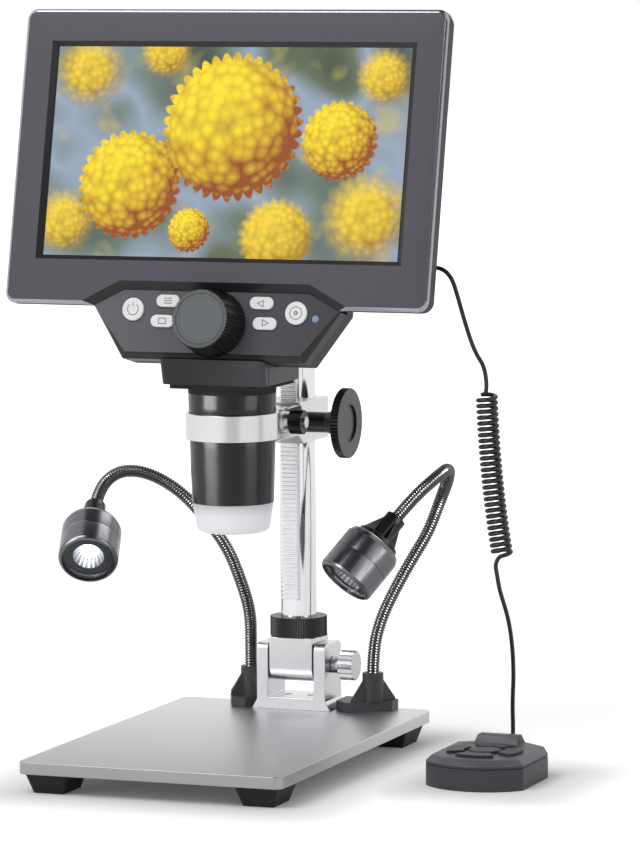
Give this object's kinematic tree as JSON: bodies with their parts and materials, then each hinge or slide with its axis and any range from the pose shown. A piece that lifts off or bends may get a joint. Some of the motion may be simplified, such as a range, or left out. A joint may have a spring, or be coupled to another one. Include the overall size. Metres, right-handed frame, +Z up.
{
  "type": "digital microscope",
  "caption": "Desktop digital microscope: tilted display on a column stand with rack height knob, focus knob, two gooseneck lamps and a wired remote control.",
  "frame": {"origin": "on the floor under the middle of the base plate, level with the soles of the feet", "axes": "+Z up, -Y towards the user and the front of the display, +X to the user's right, where the remote control lies"},
  "size_m": [0.2216, 0.1817, 0.3063],
  "materials": {
    "satin_aluminium": "satin anodised sheet",
    "bright_column": "polished round bar",
    "cast_silver": "fine bead-blasted",
    "black_rubber": "matt rubber",
    "steel_screw": "plated steel",
    "black_metal": "black anodised knurling",
    "slate_plastic": "fine-textured slate grey moulding",
    "dark_plastic": "fine-textured black moulding",
    "panel_grey": "satin grey panel",
    "button_white": "pale satin keys",
    "screen_glass": null,
    "board_green": "circuit board",
    "battery_wrap": "wrapped pouch cell",
    "gloss_black": "high-gloss black barrel",
    "frosted_plastic": "frosted translucent cap",
    "clear_lens": "clear lens",
    "lamp_metal": "gunmetal anodised",
    "hose_black": "black ribbed steel hose",
    "cord_black": "soft black cable",
    "remote_plastic": "charcoal moulding",
    "remote_key_rubber": "soft keys",
    "card_plastic": "bare black card with gold contacts"
  },
  "bodies": {
    "root": {"base_plate": "satin_aluminium", "rubber_feet": "black_rubber", "base_screws": "steel_screw", "column_bracket": "cast_silver", "gooseneck_clips": "dark_plastic", "remote_top": "remote_plastic", "remote_bottom": "remote_plastic", "cord_lower_lead": "cord_black"},
    "thumb_screw": {"tilt_thumb_screw": "cast_silver"},
    "column": {"pivot_block": "cast_silver", "column": "bright_column", "rack_bar": "cast_silver"},
    "collar": {"column_collar": "black_metal"},
    "carriage": {"carriage": "cast_silver", "clamp_ring": "cast_silver", "clamp_bolt": "steel_screw", "cord_coil": "cord_black"},
    "clamp_nut": {"clamp_nut": "black_metal"},
    "height_knob": {"pinion_shaft": "steel_screw", "height_knob": "black_metal"},
    "head": {"front_bezel": "slate_plastic", "control_panel": "panel_grey", "rear_cover": "dark_plastic", "lcd_panel": "screen_glass", "main_board": "board_green", "battery": "battery_wrap", "key_board": "board_green", "housing_screws": "steel_screw", "neck_body": "dark_plastic", "neck_front_cover": "dark_plastic", "lens_barrel": "gloss_black", "diffuser_cap": "frosted_plastic", "led_ring": "board_green", "image_sensor": "board_green", "remote_plug": "cord_black", "cord_upper_lead": "cord_black"},
    "focus": {"focus_knob": "dark_plastic", "focus_shaft": "steel_screw"},
    "lens": {"lens_tube": "black_metal", "objective_lens": "clear_lens"},
    "memory_card": {"memory_card": "card_plastic"},
    "power_button": {"power_button": "button_white"},
    "ok_button": {"ok_button": "button_white"},
    "menu_button": {"menu_button": "button_white"},
    "mode_button": {"mode_button": "button_white"},
    "up_button": {"up_button": "button_white"},
    "down_button": {"down_button": "button_white"},
    "remote_center_button": {"remote_center_button": "remote_key_rubber"},
    "remote_right_button": {"remote_right_button": "remote_key_rubber"},
    "remote_up_button": {"remote_up_button": "remote_key_rubber"},
    "remote_left_button": {"remote_left_button": "remote_key_rubber"},
    "remote_down_button": {"remote_down_button": "remote_key_rubber"},
    "left_arm": {"left_gooseneck": "hose_black"},
    "left_lamp": {"left_lamp_housing": "lamp_metal", "left_lamp_lens": "clear_lens", "left_lamp_socket": "dark_plastic"},
    "right_arm": {"right_gooseneck": "hose_black"},
    "right_lamp": {"right_lamp_housing": "lamp_metal", "right_lamp_lens": "clear_lens", "right_lamp_socket": "dark_plastic"}
  },
  "joints": [
    {"name": "column_tilt", "type": "hinge", "parent": "root", "child": "column", "pos_m": [0, 0.077, 0.0315], "axis": [1, 0, 0], "range_deg": [-15, 15], "deforming": ["cord_lower_lead"]},
    {"name": "thumb_screw_turn", "type": "hinge", "parent": "root", "child": "thumb_screw", "pos_m": [0, 0.077, 0.0315], "axis": [1, 0, 0], "range_deg": [-180, 180]},
    {"name": "collar_turn", "type": "hinge", "parent": "column", "child": "collar", "pos_m": [0, 0.077, 0.0476], "axis": [0, 0, 1], "range_deg": [-180, 180]},
    {"name": "height_slide", "type": "slide", "parent": "column", "child": "carriage", "axis": [0, 0, 1], "range_m": [-0.062, 0.078], "deforming": ["cord_coil"]},
    {"name": "height_knob_turn", "type": "hinge", "parent": "carriage", "child": "height_knob", "pos_m": [0, 0.06341, 0.1348], "axis": [1, 0, 0], "range_deg": [-1320, 1060]},
    {"name": "clamp_nut_turn", "type": "hinge", "parent": "carriage", "child": "clamp_nut", "pos_m": [0, 0.0272, 0.1386], "axis": [1, 0, 0], "range_deg": [-180, 180]},
    {"name": "head_swivel", "type": "hinge", "parent": "carriage", "child": "head", "pos_m": [0, 0.0053, 0.139], "axis": [0, 0, 1], "range_deg": [-60, 60], "deforming": ["cord_upper_lead"]},
    {"name": "focus_turn", "type": "hinge", "parent": "head", "child": "focus", "pos_m": [0, -0.01679, 0.1821], "axis": [0, -0.9748, 0.2233], "range_deg": [-96, 96]},
    {"name": "lens_slide", "type": "slide", "parent": "head", "child": "lens", "axis": [0, 0, 1], "range_m": [-0.0045, 0.0045]},
    {"name": "card_slide", "type": "slide", "parent": "head", "child": "memory_card", "axis": [-1, 0, 0], "range_m": [0, 0.012]},
    {"name": "power_press", "type": "slide", "parent": "head", "child": "power_button", "axis": [0, 0.9748, -0.2233], "range_m": [0, 0.0006], "stiffness_N_per_m": 1500},
    {"name": "ok_press", "type": "slide", "parent": "head", "child": "ok_button", "axis": [0, 0.9748, -0.2233], "range_m": [0, 0.0006], "stiffness_N_per_m": 1500},
    {"name": "menu_press", "type": "slide", "parent": "head", "child": "menu_button", "axis": [0, 0.9748, -0.2233], "range_m": [0, 0.0006], "stiffness_N_per_m": 1500},
    {"name": "mode_press", "type": "slide", "parent": "head", "child": "mode_button", "axis": [0, 0.9748, -0.2233], "range_m": [0, 0.0006], "stiffness_N_per_m": 1500},
    {"name": "up_press", "type": "slide", "parent": "head", "child": "up_button", "axis": [0, 0.9748, -0.2233], "range_m": [0, 0.0006], "stiffness_N_per_m": 1500},
    {"name": "down_press", "type": "slide", "parent": "head", "child": "down_button", "axis": [0, 0.9748, -0.2233], "range_m": [0, 0.0006], "stiffness_N_per_m": 1500},
    {"name": "remote_center_press", "type": "slide", "parent": "root", "child": "remote_center_button", "axis": [0, 0, -1], "range_m": [0, 0.0005], "stiffness_N_per_m": 1500},
    {"name": "remote_right_press", "type": "slide", "parent": "root", "child": "remote_right_button", "axis": [0, 0, -1], "range_m": [0, 0.0005], "stiffness_N_per_m": 1500},
    {"name": "remote_up_press", "type": "slide", "parent": "root", "child": "remote_up_button", "axis": [0, 0, -1], "range_m": [0, 0.0005], "stiffness_N_per_m": 1500},
    {"name": "remote_left_press", "type": "slide", "parent": "root", "child": "remote_left_button", "axis": [0, 0, -1], "range_m": [0, 0.0005], "stiffness_N_per_m": 1500},
    {"name": "remote_down_press", "type": "slide", "parent": "root", "child": "remote_down_button", "axis": [0, 0, -1], "range_m": [0, 0.0005], "stiffness_N_per_m": 1500},
    {"name": "left_arm_swing", "type": "hinge", "parent": "root", "child": "left_arm", "pos_m": [-0.0224, 0.079, 0.024], "axis": [0, 0, 1], "range_deg": [-50, 15]},
    {"name": "left_lamp_tilt", "type": "hinge", "parent": "left_arm", "child": "left_lamp", "pos_m": [-0.0711, 0.02824, 0.10055], "axis": [-0.9538, -0.3006, 0], "range_deg": [-25, 25], "deforming": ["left_gooseneck"]},
    {"name": "right_arm_swing", "type": "hinge", "parent": "root", "child": "right_arm", "pos_m": [0.0331, 0.077, 0.024], "axis": [0, 0, -1], "range_deg": [-50, 15]},
    {"name": "right_lamp_tilt", "type": "hinge", "parent": "right_arm", "child": "right_lamp", "pos_m": [0.05253, 0.05341, 0.09739], "axis": [-0.7769, 0.6296, 0], "range_deg": [-25, 25], "deforming": ["right_gooseneck"]}
  ],
  "couplings": [
    {"joint": "height_knob_turn", "follows": "height_slide", "rad_per_m": -290.89},
    {"joint": "focus_turn", "follows": "lens_slide", "rad_per_m": 364.56}
  ]
}
